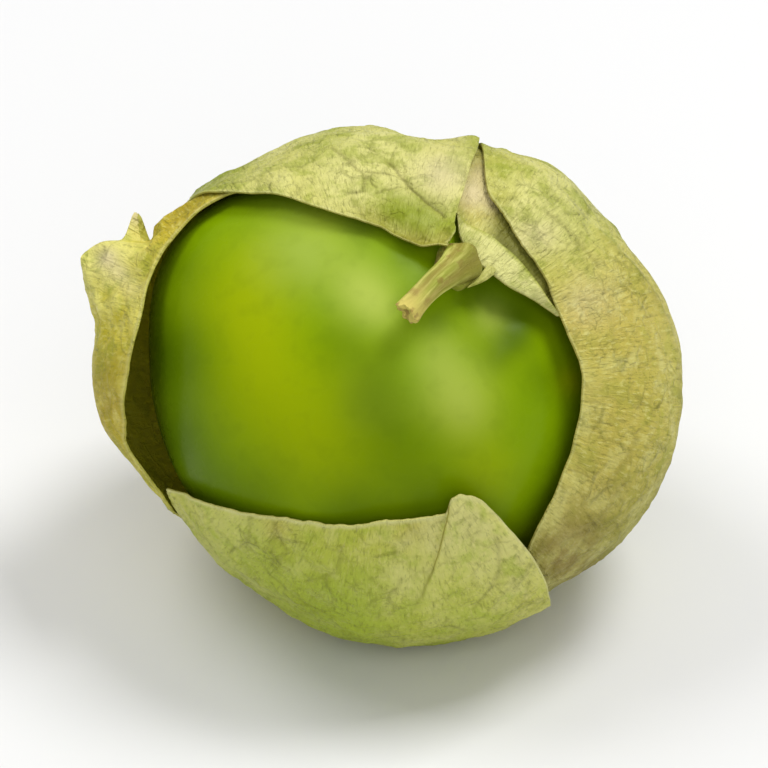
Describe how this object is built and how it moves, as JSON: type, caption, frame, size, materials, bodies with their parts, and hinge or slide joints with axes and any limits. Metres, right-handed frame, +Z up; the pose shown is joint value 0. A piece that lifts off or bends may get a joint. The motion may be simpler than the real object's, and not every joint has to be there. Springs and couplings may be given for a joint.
{
  "type": "tomatillo",
  "caption": "Ripe green tomatillo lying on its side in a papery husk that has split open over the front of the glossy berry, with a short bent stem.",
  "frame": {"origin": "middle of the flat patch of husk that the fruit rests on", "axes": "+Z up, -Y to the front, which the split in the husk faces, and +X to the right as seen from the front"},
  "size_m": [0.0649, 0.0549, 0.0529],
  "materials": {
    "berry_skin": "glossy waxy skin, yellow-green to deep green",
    "husk": "dry papery calyx, yellow-green with a fine net of veins",
    "stem": "dull green stalk with a brown cut end"
  },
  "bodies": {
    "root": {"berry": "berry_skin", "stem": "stem", "husk_wrap": "husk", "husk_left_lobe": "husk", "husk_lower_lobe": "husk", "husk_torn_strip": "husk"}
  },
  "joints": []
}
